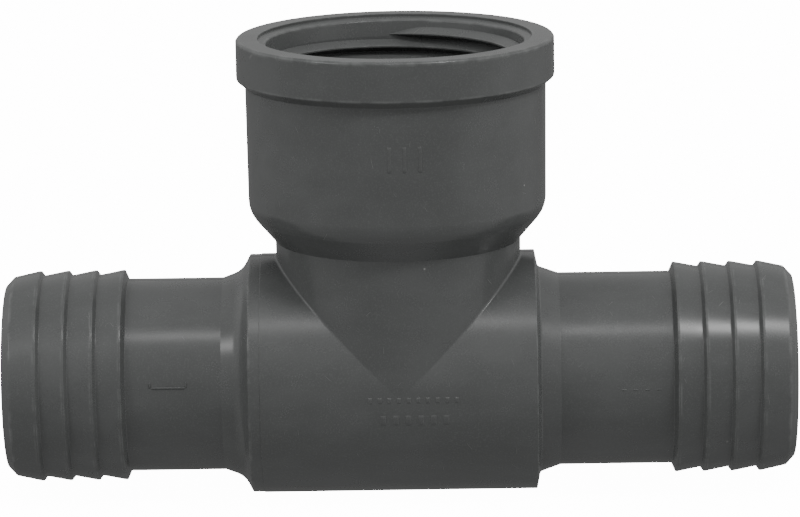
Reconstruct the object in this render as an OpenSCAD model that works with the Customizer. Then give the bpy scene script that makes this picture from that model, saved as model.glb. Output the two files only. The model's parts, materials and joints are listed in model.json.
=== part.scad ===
/* [Run] */
// Length over both spigot ends
run_length = 133; // [126:1:150]
// Radius of the straight flow bore
run_bore_r = 14.2; // [12:0.1:14.4]
// Radius of the plain shank behind the barbs
shank_r = 16.3; // [16:0.1:16.6]
// Radius of the thick central barrel
barrel_r = 20.3; // [19.6:0.1:20.5]
// Barrel length left of the branch axis, collar included
barrel_left = 25.1; // [24:0.1:26]
// Barrel length right of the branch axis
barrel_right = 23; // [22:0.1:24]
// Length of the left shoulder, down to the shank
shoulder_left = 4.65; // [4:0.05:5.5]
// Length of the right shoulder, down to the shank
shoulder_right = 3.95; // [3.6:0.05:5]

/* [Hose barbs] */
// Barbs on each spigot
barb_count = 4; // [2:1:4]
// Distance from one barb crest to the next
barb_pitch = 4.73; // [4:0.01:4.8]
// Radius over the crests
barb_crest_r = 17.8; // [17.4:0.1:18.2]
// Radius at the foot of each barb but the last
barb_root_r = 17.05; // [16.7:0.05:17.2]
// Flat on each crest
crest_land = 0.35; // [0.2:0.05:0.6]

/* [Branch] */
// Radius of the neck where the socket begins
neck_r = 20.6; // [20.4:0.1:21]
// Radius of the branch flow bore
branch_bore_r = 14; // [11:0.1:14.1]
// Radius of the socket at its lower edge
socket_bottom_r = 25; // [24.6:0.1:25.4]
// Radius of the socket under the band
socket_top_r = 25.25; // [25:0.05:25.6]
// Height of the neck's end above the run axis
neck_top_z = 23.3; // [22.6:0.1:24]
// Height of the socket's lower edge
socket_z = 29.4; // [29:0.1:31]
// Height of the mouth
mouth_z = 57.6; // [56:0.1:60]

/* [Mouth band] */
// Outer radius of the reinforcing band
band_r = 26.65; // [26.2:0.05:27.5]
// Height of the band's side
band_h = 6.7; // [5:0.1:9]
// Inner radius of the flat annulus
annulus_inner_r = 22.95; // [22.6:0.05:23.4]
// Radius where the ledge ends and the pipe entry begins
entry_r = 21.6; // [21.4:0.05:21.9]

/* [Pipe thread] */
// Thread pitch, eleven and a half to the inch
thread_pitch = 2.209; // [2.1:0.001:2.3]
// Whole turns of thread
thread_turns = 9; // [6:1:9]
// Root radius at the top of the thread
thread_root_r = 21.2; // [21:0.05:21.4]
// Depth from root to crest
thread_depth = 1.75; // [1.2:0.05:1.8]
// Flat on the crest
thread_land = 0.25; // [0.2:0.05:0.4]

/* [Hidden] */
$fn = 96;
// How far a cutting cylinder runs past the solid
cut_past = 1;

// Spigot ends: bevelled tip, lead-in up to the first crest, steep backs behind the crests
tip_bevel_h = 1.4;
tip_bevel_w = 1.5;
lead_in_rise = 0.9;
tip_to_first_crest = 5.9;
lead_in_r = barb_crest_r - lead_in_rise;
tip_r = lead_in_r - tip_bevel_w;
first_crest_x = run_length / 2 - tip_to_first_crest;
barb_back = 0.55;
last_back = 0.65;

// Shoulders between shank and barrel: a gentle cone, then a steep rise
collar_step = 0.1;
collar_length = 1.95;
collar_edge_x = barrel_left - collar_length;
gentle_rise = 1.2;
gentle_share_left = 0.7;
gentle_share_right = 0.86;
gentle_left = shoulder_left * gentle_share_left;
gentle_right = shoulder_right * gentle_share_right;
shank_left_x = barrel_left + shoulder_left;
shank_right_x = barrel_right + shoulder_right;

// The neck starts a little above the axis, where it stands clear of the barrel
neck_foot_z = 2.5;
neck_foot_r = barrel_r + (neck_r - barrel_r) * neck_foot_z / neck_top_z;

// Mouth: annulus, step, sloping ledge, smooth entry, thread, seat
step_h = 0.5;
ledge_drop = 0.45;
smooth_entry_h = 3.6;
first_turn_rise = 0.66;
turns_run_out = 0.5;
shelf_z = mouth_z - step_h;
entry_z = shelf_z - ledge_drop;
thread_top_z = mouth_z - smooth_entry_h;
thread_taper = 1 / 32;
first_turn_z = thread_top_z + first_turn_rise;
root_bottom_z = first_turn_z - (thread_turns + turns_run_out) * thread_pitch;
seat_r = 18.4;
seat_h = 2.1;

// Band: height of its sloping underside, and its rounded top edge, which bulges between two chords
band_under = 1.6;
band_edge = 0.45;
edge_bulge = 0.3;

// Flare under the socket, as shares of its width and of its height
flare_shape = [[0, 0], [0.45, 0.38], [0.74, 0.62], [0.90, 0.79], [1, 1]];

// Thread ridge, laid down in short arcs that step along the helix
arcs_per_turn = 24;
arc_angle = 360 / arcs_per_turn;
ridge_base = 2;
thread_start_angle = 90;
fade_arcs = 3;

function socket_outer_r(z) =
    socket_bottom_r + (socket_top_r - socket_bottom_r) * (z - socket_z) / (mouth_z - socket_z);

function root_r(z) = thread_root_r + (z - thread_top_z) * thread_taper;

// Seat floor: a pilot wall below the last turn, then a cone down to the flow bore
function seat_top_z() = root_bottom_z - (root_r(root_bottom_z) - seat_r);
function seat_floor_z() = seat_top_z() - seat_h;
function bore_top_z() = seat_floor_z() - (seat_r - branch_bore_r);

module along_x() {
    rotate([0, 90, 0]) children();
}

module turned(outline) {
    rotate_extrude() polygon(outline);
}

module run_bore() {
    along_x() cylinder(r = run_bore_r, h = run_length + 2 * cut_past, center = true);
}

module branch_bore() {
    cylinder(r = branch_bore_r, h = socket_z);
}

function barb_points(i) =
    let (x = first_crest_x - i * barb_pitch)
    let (last = i == barb_count - 1)
    [[barb_crest_r, x + crest_land],
     [barb_crest_r, x],
     last ? [shank_r, x - last_back] : [barb_root_r, x - barb_back]];

// One spigot on the +X side, from the shoulder's foot to the tip
module spigot(inner_x) {
    tip_x = run_length / 2;
    barbs = [for (i = [0 : barb_count - 1]) each barb_points(i)];
    difference() {
        along_x() turned(concat(
            [[0, tip_x], [tip_r, tip_x], [lead_in_r, tip_x - tip_bevel_h]],
            barbs,
            [[shank_r, inner_x], [0, inner_x]]));
        run_bore();
    }
}

module left_hose_barb() {
    color([0.30, 0.31, 0.31]) mirror([1, 0, 0]) spigot(shank_left_x);
}

module right_hose_barb() {
    color([0.30, 0.31, 0.31]) spigot(shank_right_x);
}

// Barrel with both shoulders; a hairline step marks the collar on the left
module run_barrel() {
    color([0.29, 0.30, 0.30])
    difference() {
        along_x() turned([
            [0, -shank_left_x],
            [shank_r, -shank_left_x],
            [shank_r + gentle_rise, gentle_left - shank_left_x],
            [barrel_r - collar_step, -barrel_left],
            [barrel_r - collar_step, -collar_edge_x],
            [barrel_r, -collar_edge_x],
            [barrel_r, barrel_right],
            [shank_r + gentle_rise, shank_right_x - gentle_right],
            [shank_r, shank_right_x],
            [0, shank_right_x]]);
        run_bore();
        branch_bore();
    }
}

// Neck of almost the barrel's own radius, saddled onto it
module branch_neck() {
    color([0.28, 0.29, 0.29])
    difference() {
        turned([
            [0, neck_foot_z],
            [neck_foot_r, neck_foot_z],
            [neck_r, neck_top_z],
            [0, neck_top_z]]);
        along_x() cylinder(r = barrel_r, h = 2 * (neck_r + cut_past), center = true);
        branch_bore();
    }
}

// Socket: flared underside, drafted wall, entry, tapered thread wall and seat
module threaded_socket() {
    flare_h = socket_z - neck_top_z;
    flare_w = socket_bottom_r - neck_r;
    flare = [for (p = flare_shape) [neck_r + p[0] * flare_w, neck_top_z + p[1] * flare_h]];
    color([0.31, 0.32, 0.32])
    turned(concat(flare, [
        [socket_outer_r(shelf_z), shelf_z],
        [annulus_inner_r, shelf_z],
        [entry_r, entry_z],
        [thread_root_r, thread_top_z],
        [root_r(root_bottom_z), root_bottom_z],
        [seat_r, seat_top_z()],
        [seat_r, seat_floor_z()],
        [branch_bore_r, bore_top_z()],
        [branch_bore_r, neck_top_z]]));
}

// Raised band with the flat annulus on top and a sloping underside
module mouth_band() {
    under_z = mouth_z - band_h - band_under;
    color([0.33, 0.34, 0.34])
    turned([
        [socket_outer_r(under_z), under_z],
        [band_r, mouth_z - band_h],
        [band_r, mouth_z - band_edge],
        [band_r - edge_bulge * band_edge, mouth_z - edge_bulge * band_edge],
        [band_r - band_edge, mouth_z],
        [annulus_inner_r, mouth_z],
        [annulus_inner_r, shelf_z],
        [socket_outer_r(shelf_z), shelf_z]]);
}

// One short arc of the ridge, centred on height z, with its share of the full depth
module ridge_arc(start_angle, z, share) {
    hb = ridge_base / 2;
    hl = thread_land / 2;
    crest_r = root_r(z) - thread_depth * share;
    rotate_extrude(angle = arc_angle, start = start_angle)
        polygon([
            [root_r(z - hb), z - hb],
            [root_r(z + hb), z + hb],
            [crest_r, z + hl],
            [crest_r, z - hl]]);
}

// Right-hand tapered thread, fading in at the mouth and out above the seat
module internal_thread() {
    arcs = thread_turns * arcs_per_turn;
    color([0.31, 0.32, 0.32])
    for (i = [0 : arcs - 1]) {
        share = min(1, (i + 1) / (fade_arcs + 1), (arcs - i) / (fade_arcs + 1));
        z = first_turn_z - (i + 0.5) * thread_pitch / arcs_per_turn;
        ridge_arc(thread_start_angle - (i + 1) * arc_angle, z, share);
    }
}

run_barrel();
left_hose_barb();
right_hose_barb();
branch_neck();
threaded_socket();
mouth_band();
internal_thread();
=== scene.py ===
"""PVC tee for insert pipe: a barbed run, a saddled neck and a banded, pipe-threaded socket."""
import json
import math

import bmesh
import bpy
import numpy as np
from mathutils import Matrix, Vector


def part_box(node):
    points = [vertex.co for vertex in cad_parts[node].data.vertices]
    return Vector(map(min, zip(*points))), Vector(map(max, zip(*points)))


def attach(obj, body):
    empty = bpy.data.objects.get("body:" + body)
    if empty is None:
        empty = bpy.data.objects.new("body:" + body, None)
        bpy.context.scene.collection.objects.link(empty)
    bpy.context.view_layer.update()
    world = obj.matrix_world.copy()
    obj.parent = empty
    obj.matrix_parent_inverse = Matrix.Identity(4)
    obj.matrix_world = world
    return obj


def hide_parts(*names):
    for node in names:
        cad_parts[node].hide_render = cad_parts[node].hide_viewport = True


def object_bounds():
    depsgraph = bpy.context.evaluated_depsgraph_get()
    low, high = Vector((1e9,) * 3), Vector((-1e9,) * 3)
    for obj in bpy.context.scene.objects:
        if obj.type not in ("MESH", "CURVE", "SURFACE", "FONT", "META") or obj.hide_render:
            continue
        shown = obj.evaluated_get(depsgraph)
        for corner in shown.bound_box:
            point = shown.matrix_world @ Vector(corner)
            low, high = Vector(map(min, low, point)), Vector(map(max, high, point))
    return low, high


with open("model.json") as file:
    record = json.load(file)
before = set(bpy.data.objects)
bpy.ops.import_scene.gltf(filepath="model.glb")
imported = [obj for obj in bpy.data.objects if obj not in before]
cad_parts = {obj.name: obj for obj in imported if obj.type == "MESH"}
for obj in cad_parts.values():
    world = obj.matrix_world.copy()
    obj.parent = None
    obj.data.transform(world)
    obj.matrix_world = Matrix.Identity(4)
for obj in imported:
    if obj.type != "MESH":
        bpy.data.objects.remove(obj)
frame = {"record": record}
CAD_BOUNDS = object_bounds()

MM = 0.001
MOUNTS = {mount["name"]: mount for mount in frame["record"]["mounts"]}

# Sizes read from the frame, in metres
LEFT_FOOT_X, RIGHT_FOOT_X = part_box("run_barrel")[0][0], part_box("run_barrel")[1][0]
BARREL_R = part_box("run_barrel")[1][2]
TIP_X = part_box("right_hose_barb")[1][0]
CREST_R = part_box("right_hose_barb")[1][2]
NECK_TOP_Z, NECK_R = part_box("branch_neck")[1][2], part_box("branch_neck")[1][0]
SHELF_Z, SOCKET_TOP_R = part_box("threaded_socket")[1][2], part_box("threaded_socket")[1][0]
MOUTH_Z, BAND_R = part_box("mouth_band")[1][2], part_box("mouth_band")[1][0]
BAND_FOOT_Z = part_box("mouth_band")[0][2]
RUN_BORE_R = MOUNTS["run_bore"]["dims"]["r_mm"] * MM
BRANCH_BORE_R = MOUNTS["branch_bore"]["dims"]["r_mm"] * MM

# Shank and barbs
SHANK_R = 16.3 * MM
ROOT_R = CREST_R - 0.75 * MM
LEAD_IN_R = CREST_R - 0.9 * MM
TIP_R = LEAD_IN_R - 1.5 * MM
BEVEL_H = 1.4 * MM
TIP_TO_CREST = 5.9 * MM
BARB_PITCH = 4.73 * MM
BARB_COUNT = 4
CREST_LAND = 0.35 * MM
BARB_BACK = 0.55 * MM
LAST_BACK = 0.65 * MM

# Barrel and its shoulders
KNEE_R = SHANK_R + 1.2 * MM
LEFT_KNEE_X = LEFT_FOOT_X + 3.255 * MM
RIGHT_KNEE_X = RIGHT_FOOT_X - 3.397 * MM
LEFT_EDGE_X = LEFT_FOOT_X + 4.65 * MM
RIGHT_EDGE_X = RIGHT_FOOT_X - 3.95 * MM
COLLAR_X = LEFT_EDGE_X + 1.95 * MM
COLLAR_STEP = 0.1 * MM
SADDLE_FILLET = 0.5 * MM

# Socket, mouth and thread
SOCKET_Z = 29.4 * MM
SOCKET_FOOT_R = 25 * MM
FLARE = ((0.45, 0.38), (0.74, 0.62), (0.90, 0.79))
ANNULUS_R = 22.95 * MM
ENTRY_R = 21.6 * MM
ENTRY_Z = SHELF_Z - 0.45 * MM
THREAD_TOP_Z = MOUTH_Z - 3.6 * MM
THREAD_TOP_R = 21.2 * MM
THREAD_TAPER = 1 / 32
PITCH = 2.209 * MM
TURNS = 9
FIRST_TURN_Z = THREAD_TOP_Z + 0.66 * MM
ROOT_END_Z = FIRST_TURN_Z - (TURNS + 0.5) * PITCH
RIDGE_DEPTH = 1.75 * MM
RIDGE_BASE = 2 * MM
RIDGE_LAND = 0.25 * MM
RIDGE_FADE = 20 / 360
RIDGE_TIP_SHARE = 0.32
THREAD_START = math.radians(93)
BAND_UNDER = 1.6 * MM
SEAT_R = 18.4 * MM
SEAT_H = 2.1 * MM

# Parting line of the mould, a faint ridge in the plane of both axes
FLASH_H = 0.05 * MM
FLASH_W = 0.16 * MM

# Edges rounder than WEAR_ROUNDING don't wear, and wear ends within WEAR_REACH of an edge
WEAR_ROUNDING = 0.6 * MM
WEAR_REACH = 0.3 * MM

# Length, width and height of the plain raised marks
LEFT_BAR = (6.2 * MM, 0.42 * MM, 0.16 * MM)
LEFT_STOP = (1.1 * MM, 0.4 * MM, 0.14 * MM)
RIGHT_DASH = (1.0 * MM, 0.4 * MM, 0.06 * MM)
SMALL_PAD = (1.3 * MM, 0.9 * MM, 0.12 * MM)
LARGE_PAD = (2.1 * MM, 1.2 * MM, 0.14 * MM)
SOCKET_TICK = (4.6 * MM, 0.8 * MM, 0.12 * MM)
TICK_Z = 41.2 * MM
MARK_SUNK = 0.12 * MM


def turn_angles(steps=120):
    """Angles round an axis, in two like halves, closer together beside the parting line."""
    close = np.array([0.05, 0.1, 0.16, 0.24, 0.36]) * MM / BARREL_R
    half = np.linspace(0, math.pi, steps + 1)
    half = np.sort(np.concatenate([half, math.pi / 2 - close, math.pi / 2 + close]))
    return half, np.concatenate([half, math.pi + half[1:-1]])


HALF, TURN = turn_angles()
TOP = len(HALF) - 1
AROUND = TURN - math.pi / 2


# ---------------------------------------------------------------- mesh building
def unit(vectors):
    return vectors / np.maximum(np.linalg.norm(vectors, axis=-1, keepdims=True), 1e-12)


def arc(here, into, out, rounding, room, steps):
    """Place, normal and wear of each point of one rounded corner; only tight outer corners wear."""
    turn = math.atan2(into[0] * out[1] - into[1] * out[0], into @ out)
    first = np.array([into[1], -into[0]])
    if abs(turn) < 0.02 or rounding == 0:
        last = np.array([out[1], -out[0]])
        return [(here, first, 0), (here, last, 0)] if abs(turn) >= 0.02 else [(here, first, 0)]
    reach = min(rounding * math.tan(abs(turn) / 2), room)
    radius = reach / math.tan(abs(turn) / 2) * math.copysign(1, turn)
    centre = here - into * reach - first * radius
    steps = steps or max(2, math.ceil(abs(turn) / math.radians(14)))
    worn = float(0 < radius < WEAR_ROUNDING)
    made = []
    for k in range(steps + 1):
        c, s = math.cos(turn * k / steps), math.sin(turn * k / steps)
        normal = np.array([c * first[0] - s * first[1], s * first[0] + c * first[1]])
        made.append((centre + normal * radius, normal, worn))
    return made


def stretch(start, end):
    """Two unworn points on the straight between two corners, near its ends."""
    gap = end[0] - start[0]
    share = min(0.3, WEAR_REACH / max(np.linalg.norm(gap), WEAR_REACH))
    return [(start[0] + gap * s, start[1], 0) for s in (share, 1 - share)]


def outline(corners, closed=True, steps=None):
    """A rounded outline as places, normals and wear.

    Each corner is its radius, its place on the axis, and its rounding in mm.
    """
    spots = [np.array(corner[:2], float) for corner in corners]
    bends = []
    count = len(spots)
    for i, here in enumerate(spots):
        if not closed and i in (0, count - 1):
            way = unit(spots[1] - here) if i == 0 else unit(here - spots[i - 1])
            bends.append([(here, np.array([way[1], -way[0]]), 0)])
            continue
        before, after = spots[i - 1], spots[(i + 1) % count]
        room = 0.48 * min(np.linalg.norm(here - before), np.linalg.norm(after - here))
        bends.append(arc(here, unit(here - before), unit(after - here), corners[i][2] * MM, room, steps))
    made = []
    for i, bend in enumerate(bends):
        made += bend
        if closed or i + 1 < count:
            made += stretch(bend[-1], bends[(i + 1) % count][0])
    return tuple(np.array([point[k] for point in made]) for k in range(3))


def along_x(line, side=1):
    """Turns an outline (radius, x) round the run axis: grids of points and normals."""
    places, normals, _ = line
    c, s = -np.cos(TURN)[:, None], np.sin(TURN)[:, None]

    def spun(pairs):
        return np.stack([side * pairs[:, 1] + 0 * c, pairs[:, 0] * c, pairs[:, 0] * s], -1)

    return spun(places), spun(normals)


def along_z(line):
    """Turns an outline (radius, z) round the branch axis: grids of points and normals."""
    places, normals, _ = line
    c, s = np.cos(AROUND)[:, None], np.sin(AROUND)[:, None]

    def spun(pairs):
        return np.stack([pairs[:, 0] * c, pairs[:, 0] * s, pairs[:, 1] + 0 * c], -1)

    return spun(places), spun(normals)


def with_flash(points, normals, outward):
    """Raises the parting line where the surface faces outward and crosses the plane y = 0."""
    y = points[..., 1:2]
    height = FLASH_H * np.exp(-(y / FLASH_W) ** 2) * np.clip(outward, 0, 1)[..., None]
    slope = -2 * y / FLASH_W**2 * height
    return points + normals * height, unit(normals - slope * np.array([0, 1, 0]))


def turned(skin, line, points, normals):
    """Adds a closed outline turned round its axis, with the parting line on its outer faces."""
    outward = np.broadcast_to(line[1][:, 0], points.shape[:2])
    skin.grid(*with_flash(points, normals, outward), closed_along=True, wear=line[2])


class Skin:
    """Collects grids of points, with a normal for each corner of each face, into one mesh."""

    def __init__(self):
        self.points = []
        self.faces = []
        self.normals = []
        self.wear = []
        self.count = 0

    def grid(self, points, normals, closed_round=True, closed_along=False, wear=0.0):
        rows, columns = points.shape[:2]
        flat, facing = points.reshape(-1, 3), normals.reshape(-1, 3)
        i, j = np.meshgrid(
            np.arange(rows - (not closed_round)), np.arange(columns - (not closed_along)), indexing="ij")
        i2, j2 = (i + 1) % rows, (j + 1) % columns
        quads = np.stack([i * columns + j, i2 * columns + j, i2 * columns + j2, i * columns + j2], -1)
        quads = quads.reshape(-1, 4)
        corner = flat[quads]
        faced = np.cross(corner[:, 2] - corner[:, 0], corner[:, 3] - corner[:, 1])
        back = (faced * facing[quads].mean(1)).sum(1) < 0
        quads[back] = quads[back][:, ::-1]
        self.points.append(flat)
        self.faces.append(quads + self.count)
        self.normals.append(facing[quads].reshape(-1, 3))
        self.wear.append(np.broadcast_to(wear, (rows, columns)).ravel()[quads].ravel())
        self.count += len(flat)

    def piece(self, name):
        mesh = bpy.data.meshes.new(name)
        mesh.from_pydata(np.concatenate(self.points).tolist(), [], np.concatenate(self.faces).tolist())
        wanted = mesh.attributes.new("wanted", "FLOAT_VECTOR", "CORNER")
        wanted.data.foreach_set("vector", np.concatenate(self.normals).astype(np.float32).ravel())
        worn = mesh.attributes.new("wear", "FLOAT", "CORNER")
        worn.data.foreach_set("value", np.concatenate(self.wear).astype(np.float32))
        weld(mesh)
        kept = np.empty(len(mesh.loops) * 3, np.float32)
        mesh.attributes["wanted"].data.foreach_get("vector", kept)
        mesh.attributes.remove(mesh.attributes["wanted"])
        mesh.shade_smooth()
        mesh.normals_split_custom_set(unit(kept.reshape(-1, 3)).tolist())
        piece = bpy.data.objects.new(name, mesh)
        bpy.context.scene.collection.objects.link(piece)
        return piece


def weld(mesh):
    """Joins points that coincide and drops faces that have shrunk to nothing."""
    work = bmesh.new()
    work.from_mesh(mesh)
    bmesh.ops.remove_doubles(work, verts=work.verts, dist=0.002 * MM)
    thin = [face for face in work.faces if face.calc_area() < (0.001 * MM) ** 2]
    bmesh.ops.delete(work, geom=thin, context="FACES_ONLY")
    work.to_mesh(mesh)
    work.free()


# ---------------------------------------------------------------- raised marks
def raised_bar(skin, place, length, width, height):
    """A closed, round-edged bar. place(along, across, up) gives a point on the wall and its normal."""
    s, t = np.meshgrid(np.linspace(-1, 1, 17), np.linspace(-1, 1, 9), indexing="ij")
    ends = np.clip((1 - np.abs(s)) * length / width, 0, 1)
    sides = np.clip((1 - np.abs(t)) * 1.6, 0, 1)
    rise = np.sin(np.minimum(ends, sides) * math.pi / 2)
    top, _ = place(s * length / 2, t * width / 2, rise * (height + MARK_SUNK) - MARK_SUNK)
    under, normals = place(s * length / 2, t * width / 2, 0 * rise - MARK_SUNK)
    step_s, step_t = np.gradient(top, axis=0), np.gradient(top, axis=1)
    facing = unit(np.cross(step_s, step_t))
    facing *= np.sign((facing * normals).sum(-1, keepdims=True))
    skin.grid(top, facing, closed_round=False)
    skin.grid(under, -normals, closed_round=False)


def on_run(x, angle, radius, quarter=False):
    """A place function on a cylinder round the run axis; quarter turns the bar across the run."""

    def place(along, across, up):
        if quarter:
            along, across = across, along
        a = angle + across / radius
        normal = np.stack([0 * a, -np.cos(a), np.sin(a)], -1)
        middle = np.stack([x + along, 0 * a, 0 * a], -1)
        return middle + normal * (radius + up)[..., None], normal

    return place


def on_branch(angle, z, radius):
    """A place function on a cylinder round the branch axis, with the bar upright."""

    def place(along, across, up):
        a = angle + across / radius
        normal = np.stack([np.cos(a), np.sin(a), 0 * a], -1)
        middle = np.stack([0 * a, 0 * a, z + along], -1)
        return middle + normal * (radius + up)[..., None], normal

    return place


# ---------------------------------------------------------------- run pieces
def spigot_line(foot):
    """Outline of a spigot from the shoulder's foot out to the tip and back along the bore."""
    corners = [(SHANK_R, foot, 0)]
    for i in reversed(range(BARB_COUNT)):
        crest = TIP_X - TIP_TO_CREST - i * BARB_PITCH
        innermost = i == BARB_COUNT - 1
        back, low = (LAST_BACK, SHANK_R) if innermost else (BARB_BACK, ROOT_R)
        corners += [(low, crest - back, 0.18), (CREST_R, crest, 0.1), (CREST_R, crest + CREST_LAND, 0.25)]
    corners += [(LEAD_IN_R, TIP_X - BEVEL_H, 0.5), (TIP_R, TIP_X, 0.35)]
    corners += [(RUN_BORE_R, TIP_X, 0.3), (RUN_BORE_R, foot, 0)]
    return outline(corners)


def spigot(name, foot, side, marks):
    """One spigot on the +X side, or on the -X side where side is -1, with its raised marks."""
    line = spigot_line(foot)
    skin = Skin()
    turned(skin, line, *along_x(line, side))
    for mark in marks:
        raised_bar(skin, *mark)
    return skin.piece(name)


def left_hose_barb():
    """The left spigot, with a bar and two stops on its shank."""
    bar = (on_run(-38.5 * MM, 0.09, SHANK_R), *LEFT_BAR)
    stops = [(on_run(x * MM, 0.12, SHANK_R, quarter=True), *LEFT_STOP) for x in (-41.6, -35.6)]
    return spigot("left_hose_barb_moulded", -LEFT_FOOT_X, -1, [bar, *stops])


def right_hose_barb():
    """The right spigot, with a row of faint dashes on its shank."""
    dashes = [(on_run((37.4 + 1.9 * i) * MM, 0.0, SHANK_R), *RIGHT_DASH) for i in range(4)]
    return spigot("right_hose_barb_moulded", RIGHT_FOOT_X, 1, dashes)


def neck_r(z):
    """Radius of the neck, which widens slightly towards the socket."""
    return BARREL_R + (NECK_R - BARREL_R) * z / NECK_TOP_Z


def saddle_field(p):
    """Below zero inside the barrel or the neck, with a fillet of SADDLE_FILLET where they meet."""
    x, y, z = p[..., 0], p[..., 1], p[..., 2]
    barrel = np.hypot(y, z) - BARREL_R
    neck = np.hypot(x, y) - neck_r(z)
    width = SADDLE_FILLET * np.clip(1 - (y / BARREL_R) ** 2, 1e-6, 1)
    near = np.clip(width - np.abs(barrel - neck), 0, None) / width
    return np.where(z > 0, np.minimum(barrel, neck) - near**2 * width / 4, barrel)


def saddle_slope(p):
    """Gradient of the saddle field, by central differences."""
    step = 0.001 * MM
    shifts = np.eye(3) * step
    return np.stack([saddle_field(p + s) - saddle_field(p - s) for s in shifts], -1) / (2 * step)


def onto_saddle(p):
    """Moves points onto the blended surface; returns them with its normals."""
    for _ in range(8):
        slope = saddle_slope(p)
        p = p - slope * (saddle_field(p) / (slope**2).sum(-1))[..., None]
    return p, unit(saddle_slope(p))


def crease_half():
    """The crease between barrel and neck, right of the branch, from front to back over the top."""
    y, z = -BARREL_R * np.cos(HALF), BARREL_R * np.sin(HALF)
    x = np.sqrt(np.clip(neck_r(z) ** 2 - y**2, 0, None))
    x[0] = x[-1] = 0
    crease, normals = onto_saddle(np.stack([x, y, z], -1))
    crease[[0, -1], 0] = 0
    return crease, normals


def mirrored_ring(half):
    """A half ring on the right of the branch made whole with its mirror image on the left."""
    left = half[1:-1][::-1] * np.array([-1, 1, 1])
    return np.concatenate([half, left])


CREASE, CREASE_NORMALS = crease_half()
CREASE_RING = mirrored_ring(CREASE)


def bore_ring(radius):
    """Where the branch bore cuts a cylinder of this radius round the run axis."""
    x, y = BRANCH_BORE_R * np.cos(AROUND), BRANCH_BORE_R * np.sin(AROUND)
    return np.stack([x, y, np.sqrt(radius**2 - y**2)], -1)


def saddle_rows(steps=5):
    """The face where the neck sits on the barrel, from the branch bore out to the crease."""
    inner = bore_ring(BARREL_R)
    rows = [inner]
    for share in np.linspace(0, 1, steps)[1:-1]:
        row = inner + (CREASE_RING - inner) * share
        row[:, 2] = np.sqrt(np.clip(BARREL_R**2 - row[:, 1] ** 2, 0, None))
        rows.append(row)
    rows.append(CREASE_RING)
    points = np.stack(rows, 1)
    return points, unit(points * np.array([0, 1, 1]))


def shoulder_lines():
    """Outlines of both shoulders, from the shank up to the barrel, ending short of the neck's fillet."""
    left = outline([
        (SHANK_R, LEFT_FOOT_X, 0),
        (KNEE_R, LEFT_KNEE_X, 3.7),
        (BARREL_R - COLLAR_STEP, LEFT_EDGE_X, 0.3),
        (BARREL_R - COLLAR_STEP, COLLAR_X - 0.05 * MM, 0.04),
        (BARREL_R, COLLAR_X, 0.05),
        (BARREL_R, COLLAR_X + 0.1 * MM, 0)], closed=False)
    right = outline([
        (BARREL_R, RIGHT_EDGE_X - 0.3 * MM, 0),
        (BARREL_R, RIGHT_EDGE_X, 0.25),
        (KNEE_R, RIGHT_KNEE_X, 0.6),
        (SHANK_R + 0.11 * MM, RIGHT_FOOT_X - 0.32 * MM, 0.1),
        (SHANK_R, RIGHT_FOOT_X, 0)], closed=False)
    return left, right


def barrel_middle(end_x, side, steps=26):
    """The barrel's wall from the crease, or from x = 0 below, out to end_x."""
    near = np.zeros(len(TURN))
    near[: TOP + 1] = CREASE[:, 0]
    share = (np.linspace(0, 1, steps) ** 1.8)[None, :]
    x = near[:, None] + (abs(end_x) - near[:, None]) * share
    c, s = -np.cos(TURN)[:, None], np.sin(TURN)[:, None]
    start = np.stack([side * x, BARREL_R * c + 0 * x, BARREL_R * s + 0 * x], -1)
    points, normals = onto_saddle(start)
    points[: TOP + 1, 0] = CREASE * np.array([side, 1, 1])
    normals[: TOP + 1, 0] = CREASE_NORMALS * np.array([side, 1, 1])
    points[TOP + 1:, 0, 0] = 0
    points[:, -1] = start[:, -1]
    return points, normals


def barrel_bore(skin):
    """The run bore through the barrel, with the branch bore's hole in its top."""
    hole = bore_ring(RUN_BORE_R)
    upper = np.arctan2(hole[: TOP + 1, 2], -hole[: TOP + 1, 1])
    share = (TURN[TOP + 1:] - math.pi) / math.pi
    angles = np.concatenate([upper, upper[-1] + (2 * math.pi + upper[0] - upper[-1]) * share])
    near = np.zeros(len(TURN))
    near[: TOP + 1] = hole[: TOP + 1, 0]
    near[[0, TOP]] = 0
    ring = np.stack([0 * angles, -RUN_BORE_R * np.cos(angles), RUN_BORE_R * np.sin(angles)], -1)
    inward = -unit(ring)[:, None, :] * np.ones((1, 2, 1))
    ends = {}
    for side, end_x in ((-1, LEFT_FOOT_X), (1, RIGHT_FOOT_X)):
        close, far = ring.copy(), ring.copy()
        close[:, 0], far[:, 0] = side * near, end_x
        skin.grid(np.stack([close, far], 1), inward)
        ends[side] = far
    return ends


def barrel_marks(skin):
    """Two rows of plain pads on the front of the barrel."""
    for i in range(10):
        raised_bar(skin, on_run((-4.9 + 1.6 * i) * MM, -0.015, BARREL_R, quarter=True), *SMALL_PAD)
    for i in range(6):
        raised_bar(skin, on_run((-2.8 + 2.1 * i) * MM, -0.185, BARREL_R, quarter=True), *LARGE_PAD)


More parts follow.
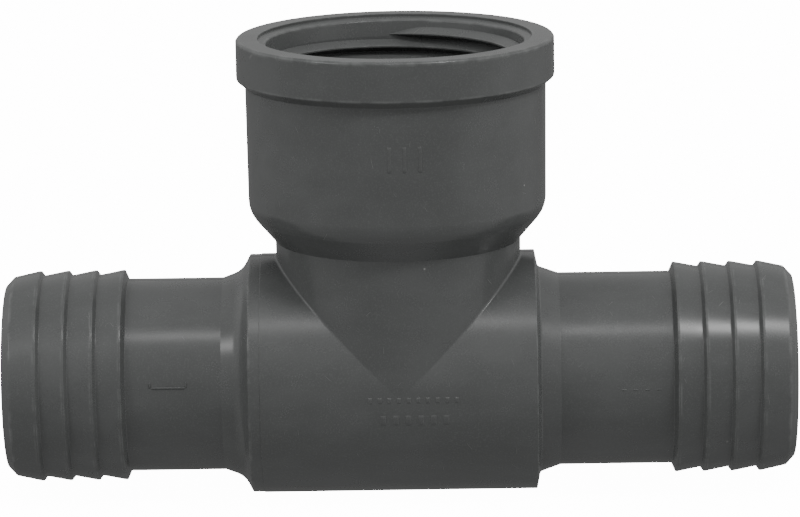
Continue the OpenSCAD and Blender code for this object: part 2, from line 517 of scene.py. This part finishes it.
def run_barrel():
    """The barrel with both shoulders, its bore, and the saddle face that the neck sits on."""
    skin = Skin()
    left, right = shoulder_lines()
    bore_ends = barrel_bore(skin)
    shells = (
        (along_x(left), left, barrel_middle(COLLAR_X + 0.1 * MM, -1), -1),
        (along_x(right), right, barrel_middle(RIGHT_EDGE_X - 0.3 * MM, 1), 1))
    for (points, normals), line, (wall, facing), side in shells:
        outward = np.broadcast_to(line[1][:, 0], points.shape[:2])
        skin.grid(*with_flash(points, normals, outward), wear=line[2])
        skin.grid(*with_flash(wall, facing, np.ones(wall.shape[:2])))
        foot = with_flash(points, normals, np.ones(points.shape[:2]))[0][:, 0 if side < 0 else -1]
        end = np.stack([foot, bore_ends[side]], 1)
        skin.grid(end, np.broadcast_to(np.array([side, 0, 0]), end.shape))
    skin.grid(*saddle_rows())
    wall = np.stack([bore_ring(BARREL_R), bore_ring(RUN_BORE_R)], 1)
    skin.grid(wall, -unit(wall * np.array([1, 1, 0])))
    barrel_marks(skin)
    return skin.piece("run_barrel_moulded")


# ---------------------------------------------------------------- branch pieces
def branch_neck(steps=18):
    """The neck: its wall from crease to socket, its bore, and the saddle face under it."""
    azimuth = np.unwrap(np.arctan2(CREASE_RING[:, 1], CREASE_RING[:, 0]))
    share = (np.linspace(0, 1, steps) ** 1.5)[None, :]
    a = azimuth[:, None] * (1 - share) + AROUND[:, None] * share
    z = CREASE_RING[:, 2:3] * (1 - share) + NECK_TOP_Z * share
    start = np.stack([neck_r(z) * np.cos(a), neck_r(z) * np.sin(a), z], -1)
    wall, facing = onto_saddle(start)
    wall[:, 0] = CREASE_RING
    facing[:, 0] = mirrored_ring(CREASE_NORMALS)
    wall[:, -1] = start[:, -1]
    wall, facing = with_flash(wall, facing, np.ones(wall.shape[:2]))
    skin = Skin()
    skin.grid(wall, facing)
    ring = np.stack([np.cos(AROUND), np.sin(AROUND), 0 * AROUND], -1)
    top = ring * BRANCH_BORE_R + np.array([0, 0, NECK_TOP_Z])
    cap = np.stack([wall[:, -1], top], 1)
    skin.grid(cap, np.broadcast_to(np.array([0, 0, 1]), cap.shape))
    bore = np.stack([top, bore_ring(BARREL_R)], 1)
    skin.grid(bore, -np.stack([ring, ring], 1))
    saddle, up = saddle_rows()
    skin.grid(saddle, -up)
    return skin.piece("branch_neck_moulded")


def socket_r(z):
    """Radius of the socket's outer wall, which is slightly drafted."""
    share = (z - SOCKET_Z) / (SHELF_Z - SOCKET_Z)
    return SOCKET_FOOT_R + (SOCKET_TOP_R - SOCKET_FOOT_R) * share


def root_r(z):
    """Radius of the tapered wall between the thread's turns."""
    return THREAD_TOP_R + (z - THREAD_TOP_Z) * THREAD_TAPER


def socket_line():
    """Outline of the socket: flare, outer wall, ledge, entry, thread root, seat and bore."""
    rise, reach = SOCKET_Z - NECK_TOP_Z, SOCKET_FOOT_R - NECK_R
    seat_z = ROOT_END_Z - (root_r(ROOT_END_Z) - SEAT_R)
    floor_z = seat_z - SEAT_H
    return outline([
        (NECK_R, NECK_TOP_Z, 0),
        *[(NECK_R + out * reach, NECK_TOP_Z + up * rise, 4) for out, up in FLARE],
        (SOCKET_FOOT_R, SOCKET_Z, 4),
        (SOCKET_TOP_R, SHELF_Z, 0),
        (ANNULUS_R, SHELF_Z, 0),
        (ENTRY_R, ENTRY_Z, 0.35),
        (THREAD_TOP_R, THREAD_TOP_Z, 1),
        (root_r(ROOT_END_Z), ROOT_END_Z, 0.3),
        (SEAT_R, seat_z, 0.3),
        (SEAT_R, floor_z, 0.3),
        (BRANCH_BORE_R, floor_z - (SEAT_R - BRANCH_BORE_R), 0.4),
        (BRANCH_BORE_R, NECK_TOP_Z, 0)])


def threaded_socket():
    """The socket, with three plain upright ticks on its front."""
    line = socket_line()
    skin = Skin()
    turned(skin, line, *along_z(line))
    for i in range(3):
        angle = -math.pi / 2 + (i - 0.4) * 0.1
        raised_bar(skin, on_branch(angle, TICK_Z, socket_r(TICK_Z)), *SOCKET_TICK)
    return skin.piece("threaded_socket_moulded")


def mouth_band():
    """The reinforcing band with the flat annulus of the mouth on top."""
    foot_r = socket_r(BAND_FOOT_Z) + 0.01 * MM
    line = outline([
        (foot_r, BAND_FOOT_Z, 0),
        (foot_r, BAND_FOOT_Z + BAND_UNDER / 4, 0.8),
        (BAND_R, BAND_FOOT_Z + BAND_UNDER, 0.3),
        (BAND_R, MOUTH_Z, 0.55),
        (ANNULUS_R, MOUTH_Z, 0.12),
        (ANNULUS_R, SHELF_Z, 0),
        (SOCKET_TOP_R, SHELF_Z, 0)])
    skin = Skin()
    turned(skin, line, *along_z(line))
    return skin.piece("mouth_band_moulded")


def ridge_section(z, share):
    """Section of the thread ridge at height z; it grows to its full size as share goes to 1."""
    wide = RIDGE_BASE * share
    low = z - RIDGE_BASE / 2 + RIDGE_TIP_SHARE * (RIDGE_BASE - wide)
    middle = low + wide / 2
    half_land = RIDGE_LAND / 2 * share
    sunk = 0.1 * MM
    crest = root_r(z) - RIDGE_DEPTH * share
    return [
        (root_r(low) + sunk, low - 0.06 * MM * share, 0),
        (root_r(low) + sunk, low + wide + 0.06 * MM * share, 0),
        (crest, middle + half_land, 0.07 * share),
        (crest, middle - half_land, 0.07 * share)]


def internal_thread(steps_per_turn=144):
    """The right-hand ridge, swept down its helix and faded in and out at its ends."""
    rows, facings = [], []
    count = TURNS * steps_per_turn
    for i in range(count + 1):
        turned = i / steps_per_turn
        fade = min(turned, TURNS - turned) / RIDGE_FADE
        share = max(0.02, math.sin(min(1, fade) * math.pi / 2))
        places, normals, wear = outline(ridge_section(FIRST_TURN_Z - turned * PITCH, share), steps=4)
        a = THREAD_START - turned * 2 * math.pi
        c, s = math.cos(a), math.sin(a)
        rows.append([(p[0] * c, p[0] * s, p[1]) for p in places])
        facings.append([(n[0] * c, n[0] * s, n[1]) for n in normals])
    rows, facings = np.array(rows), np.array(facings)
    skin = Skin()
    skin.grid(rows, facings, closed_round=False, closed_along=True, wear=wear)
    for end, way in ((0, -1), (-1, 1)):
        middle = np.broadcast_to(rows[end].mean(0), rows[end].shape)
        fan = np.stack([rows[end], middle], 1)
        step = rows[1] - rows[0] if end == 0 else rows[-1] - rows[-2]
        skin.grid(fan, np.broadcast_to(way * unit(step[0]), fan.shape))
    return skin.piece("internal_thread_moulded")


# ---------------------------------------------------------------- material
DARK_TONE = (0.0645, 0.0667, 0.0658)
LIGHT_TONE = (0.0745, 0.0770, 0.0761)
GRAIN_TONE = (0.112, 0.116, 0.114)
WORN_TONE = (0.15, 0.155, 0.152)
SCUFF_TONE = (0.30, 0.30, 0.29)
DUST_TONE = (0.34, 0.34, 0.33)
PVC_ROUGH = 0.22


class Nodes:
    """A small helper that adds and links the shader nodes of a material or a world."""

    def __init__(self, owner):
        owner.use_nodes = True
        self.tree = owner.node_tree
        self.tree.nodes.clear()

    def add(self, kind, settings=None, **inputs):
        node = self.tree.nodes.new(kind)
        for key, value in (settings or {}).items():
            setattr(node, key, value)
        for key, value in inputs.items():
            self.feed(node, key, value)
        return node

    def feed(self, node, key, value):
        numbered = key[0] == "i" and key[1:].isdigit()
        socket = node.inputs[int(key[1:])] if numbered else node.inputs[key]
        if isinstance(value, bpy.types.NodeSocket):
            self.tree.links.new(value, socket)
        else:
            socket.default_value = value

    def math(self, operation, a, b=0.0, clamp=False):
        node = self.add("ShaderNodeMath", {"operation": operation, "use_clamp": clamp}, i0=a, i1=b)
        return node.outputs[0]

    def noise(self, vector, scale, detail=2.0, rough=0.5):
        node = self.add("ShaderNodeTexNoise", Vector=vector, Scale=scale, Detail=detail, Roughness=rough)
        return node.outputs["Fac"]

    def vector(self, operation, a, b=(0, 0, 0)):
        node = self.add("ShaderNodeVectorMath", {"operation": operation}, i0=a, i1=b)
        return node.outputs["Value" if operation in ("DOT_PRODUCT", "LENGTH") else "Vector"]

    def channel(self, colour):
        return self.add("ShaderNodeSeparateColor", Color=colour).outputs["Red"]

    def spread(self, value, low, high, to_low=0.0, to_high=1.0):
        node = self.add("ShaderNodeMapRange", {"interpolation_type": "SMOOTHSTEP"}, Value=value)
        limits = {"From Min": low, "From Max": high, "To Min": to_low, "To Max": to_high}
        for key, number in limits.items():
            node.inputs[key].default_value = number
        return node.outputs[0]

    def blend(self, share, a, b):
        node = self.add("ShaderNodeMix", {"data_type": "RGBA"}, i0=share)
        for index, value in ((6, a), (7, b)):
            if isinstance(value, bpy.types.NodeSocket):
                self.tree.links.new(value, node.inputs[index])
            else:
                node.inputs[index].default_value = (*value, 1)
        return node.outputs[2]

    def mapped(self, vector, scale):
        return self.add("ShaderNodeMapping", Vector=vector, Scale=scale).outputs[0]


def hairlines(n, where, scale, share, width, length):
    """Sparse short scratches: thin slabs of random lie, each inside a ball round a cell's centre."""
    cells = n.add("ShaderNodeTexVoronoi", Vector=where, Scale=scale)
    offset = n.vector("SUBTRACT", where, cells.outputs["Position"])
    lie = n.vector("SUBTRACT", cells.outputs["Color"], (0.5, 0.5, 0.5))
    across = n.math("ABSOLUTE", n.vector("DOT_PRODUCT", offset, n.vector("NORMALIZE", lie)))
    thin = n.spread(across, width, 0.0)
    near = n.spread(n.vector("LENGTH", offset), length, length * 0.6)
    chosen = n.math("GREATER_THAN", n.channel(cells.outputs["Color"]), 1 - share)
    return n.math("MULTIPLY", chosen, n.math("MULTIPLY", thin, near))


def specks(n, where, scale, share, size):
    """Sparse round specks: a few cells of a cell pattern, each with a small dot."""
    cells = n.add("ShaderNodeTexVoronoi", Vector=where, Scale=scale)
    chosen = n.math("GREATER_THAN", cells.outputs["Color"], 1 - share)
    dot = n.spread(cells.outputs["Distance"], size, size * 0.4)
    return n.math("MULTIPLY", chosen, dot)


def pvc_colour(n, where, blotches, grain, peel, scuffs, dust):
    """Mottled dark grey, paler in the grain, on rubbed edges, in scratches and on specks."""
    worn = n.add("ShaderNodeAttribute", {"attribute_name": "wear"}).outputs["Fac"]
    worn = n.math("MULTIPLY", worn, n.spread(peel, 0.4, 0.7))
    flow = n.noise(n.mapped(where, (60, 240, 240)), 1.0, 3.0)
    tone = n.math("ADD", n.math("MULTIPLY", blotches, 0.6), n.math("MULTIPLY", flow, 0.4))
    colour = n.blend(n.spread(tone, 0.35, 0.65), DARK_TONE, LIGHT_TONE)
    colour = n.blend(n.math("MULTIPLY", n.spread(grain, 0.45, 0.75), 0.3), colour, GRAIN_TONE)
    colour = n.blend(n.math("MULTIPLY", worn, 0.35), colour, WORN_TONE)
    colour = n.blend(n.math("MULTIPLY", scuffs, 0.25), colour, SCUFF_TONE)
    return n.blend(n.math("MULTIPLY", dust, 0.55), colour, DUST_TONE)


def pvc_roughness(n, blotches, grain, scuffs):
    """Satin, a little duller in patches, in the grain and in scratches."""
    patches = n.spread(blotches, 0.3, 0.7, PVC_ROUGH - 0.04, PVC_ROUGH + 0.05)
    rough = n.math("ADD", patches, n.math("MULTIPLY", grain, 0.06))
    return n.math("ADD", rough, n.math("MULTIPLY", scuffs, 0.2), clamp=True)


def pvc_bump(n, where, grain, peel, scuffs, dust):
    """The moulded skin: fine grain, orange peel, long waves, cut scratches and raised specks."""
    waves = n.noise(where, 110.0, 1.0)
    height = n.math("ADD", n.math("MULTIPLY", grain, 0.004), n.math("MULTIPLY", peel, 0.012))
    height = n.math("ADD", height, n.math("MULTIPLY", waves, 0.05))
    height = n.math("SUBTRACT", height, n.math("MULTIPLY", scuffs, 0.02))
    height = n.math("ADD", height, n.math("MULTIPLY", dust, 0.01))
    return n.add("ShaderNodeBump", Strength=0.6, Distance=1.0 * MM, Height=height).outputs[0]


def moulded_pvc():
    """Satin dark grey PVC: faint mottling, dust specks, scuffs, worn edges and a fine moulded skin."""
    material = bpy.data.materials.new("moulded_pvc")
    n = Nodes(material)
    where = n.add("ShaderNodeTexCoord").outputs["Object"]
    blotches = n.noise(where, 70.0, 3.0, 0.55)
    grain = n.noise(where, 3800.0, 2.0, 0.6)
    peel = n.noise(where, 420.0, 2.0)
    long_lines = hairlines(n, where, 260.0, 0.10, 0.04 * MM, 1.1 * MM)
    short_lines = hairlines(n, where, 420.0, 0.12, 0.03 * MM, 0.6 * MM)
    scuffs = n.math("MAXIMUM", long_lines, short_lines)
    dust = n.math("MAXIMUM", specks(n, where, 420.0, 0.07, 0.14), specks(n, where, 900.0, 0.04, 0.22))
    surface = n.add("ShaderNodeBsdfPrincipled")
    n.feed(surface, "Base Color", pvc_colour(n, where, blotches, grain, peel, scuffs, dust))
    n.feed(surface, "Roughness", pvc_roughness(n, blotches, grain, scuffs))
    n.feed(surface, "Normal", pvc_bump(n, where, grain, peel, scuffs, dust))
    n.feed(surface, "IOR", 1.5)
    n.feed(surface, "Specular IOR Level", 0.28)
    n.add("ShaderNodeOutputMaterial", Surface=surface.outputs[0])
    return material


# ---------------------------------------------------------------- stage, light and camera
# Azimuth and elevation in degrees, distance, width and height in metres, power in watts
LAMPS = {
    "key_light": (-1, 59, 1.1, 0.50, 0.14, 1.9),
    "left_light": (-56, 35, 1.1, 0.20, 0.14, 1.8),
    "right_light": (44, 50, 1.1, 0.24, 0.12, 3.9),
}
FLOOR_HALF = 8.0
FLOOR_GLOW = 16.0
CAMERA_PLACE = Vector((6.2, -776.4, 186.8)) * MM
CAMERA_YAW, CAMERA_PITCH, CAMERA_ROLL = -0.436, 12.164, -0.957
CAMERA_LENS = 211.6


def direction(azimuth, elevation):
    """A unit vector from the object; azimuth 0 is the front (-Y), positive towards +X."""
    a, e = math.radians(azimuth), math.radians(elevation)
    return Vector((math.sin(a) * math.cos(e), -math.cos(a) * math.cos(e), math.sin(e)))


def soft_light(name, azimuth, elevation, distance, width, height, power):
    """A rectangular lamp that faces the object."""
    data = bpy.data.lights.new(name, "AREA")
    data.shape = "RECTANGLE"
    data.size, data.size_y = width, height
    data.energy = power
    light = bpy.data.objects.new(name, data)
    light.location = direction(azimuth, elevation) * distance
    light.rotation_euler = (-light.location).to_track_quat("-Z", "Y").to_euler()
    bpy.context.scene.collection.objects.link(light)


def studio_world(above=1.12, below=0.55, sides=0.9, low_sides=0.3, right=0.15, bounce=0.22):
    """Pale room light: strongest from above, weaker from behind, with bright upper side walls."""
    world = bpy.data.worlds.new("studio")
    n = Nodes(world)
    parts = n.add("ShaderNodeSeparateXYZ", i0=n.add("ShaderNodeTexCoord").outputs["Generated"])
    x, y, z = parts.outputs
    from_below = n.spread(z, -1.0, -0.4, bounce, 0.0)
    light = n.math("ADD", n.spread(z, -0.15, 0.6, below, above), from_below)
    behind = n.math("MULTIPLY", n.spread(y, -0.2, 0.7), n.spread(z, -0.4, 0.1, 0.6, 0.3))
    light = n.math("MULTIPLY", light, n.math("SUBTRACT", 1.0, behind))
    walls = n.spread(z, -0.1, 0.35, low_sides, sides)
    walls = n.math("MULTIPLY", walls, n.spread(n.math("ABSOLUTE", x), 0.5, 0.95))
    light = n.math("ADD", light, n.math("ADD", walls, n.spread(x, 0.6, 0.95, 0.0, right)))
    background = n.add("ShaderNodeBackground", Strength=light)
    n.add("ShaderNodeOutputWorld", i0=background.outputs[0])
    bpy.context.scene.world = world


def pale_floor():
    """A wide pale sheet that the barrel lies on."""
    half, z = FLOOR_HALF, CAD_BOUNDS[0][2]
    mesh = bpy.data.meshes.new("floor")
    corners = [(-half, -half, z), (half, -half, z), (half, half, z), (-half, half, z)]
    mesh.from_pydata(corners, [], [(0, 1, 2, 3)])
    floor = bpy.data.objects.new("floor", mesh)
    bpy.context.scene.collection.objects.link(floor)
    material = bpy.data.materials.new("pale_paper")
    paper = Nodes(material)
    where = paper.add("ShaderNodeTexCoord").outputs["Object"]
    tone = paper.blend(paper.noise(where, 3.0), (0.86, 0.86, 0.86), (0.90, 0.90, 0.90))
    surface = paper.add("ShaderNodeBsdfPrincipled", Roughness=0.9)
    paper.feed(surface, "Base Color", tone)
    paper.feed(surface, "Emission Color", tone)
    paper.feed(surface, "Emission Strength", FLOOR_GLOW)
    paper.add("ShaderNodeOutputMaterial", Surface=surface.outputs[0])
    mesh.materials.append(material)
    floor.visible_glossy = False
    floor.visible_diffuse = False


def photo_camera():
    """A long lens in front of the run, a little above it, looking slightly down."""
    yaw, pitch, roll = (math.radians(turn) for turn in (CAMERA_YAW, CAMERA_PITCH, CAMERA_ROLL))
    level, drop = math.cos(pitch), -math.sin(pitch)
    ahead = Vector((math.sin(yaw) * level, math.cos(yaw) * level, drop))
    right = Vector((math.cos(yaw), -math.sin(yaw), 0))
    up = right.cross(ahead)
    tilted_right = right * math.cos(roll) + up * math.sin(roll)
    tilted_up = up * math.cos(roll) - right * math.sin(roll)
    data = bpy.data.cameras.new("camera")
    data.sensor_width = 36
    data.lens = CAMERA_LENS
    camera = bpy.data.objects.new("camera", data)
    turn = Matrix((tilted_right, tilted_up, -ahead)).transposed().to_4x4()
    camera.matrix_world = Matrix.Translation(CAMERA_PLACE) @ turn
    bpy.context.scene.collection.objects.link(camera)
    bpy.context.scene.camera = camera


def build_pieces():
    """Each piece stands for one CAD node, and all share one plastic."""
    makers = {
        "run_barrel": run_barrel,
        "left_hose_barb": left_hose_barb,
        "right_hose_barb": right_hose_barb,
        "branch_neck": branch_neck,
        "threaded_socket": threaded_socket,
        "mouth_band": mouth_band,
        "internal_thread": internal_thread,
    }
    plastic = moulded_pvc()
    for node, maker in makers.items():
        piece = maker()
        piece.data.materials.append(plastic)
        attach(piece, "root")
        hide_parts(node)


build_pieces()
studio_world()
pale_floor()
for lamp, settings in LAMPS.items():
    soft_light(lamp, *settings)
photo_camera()
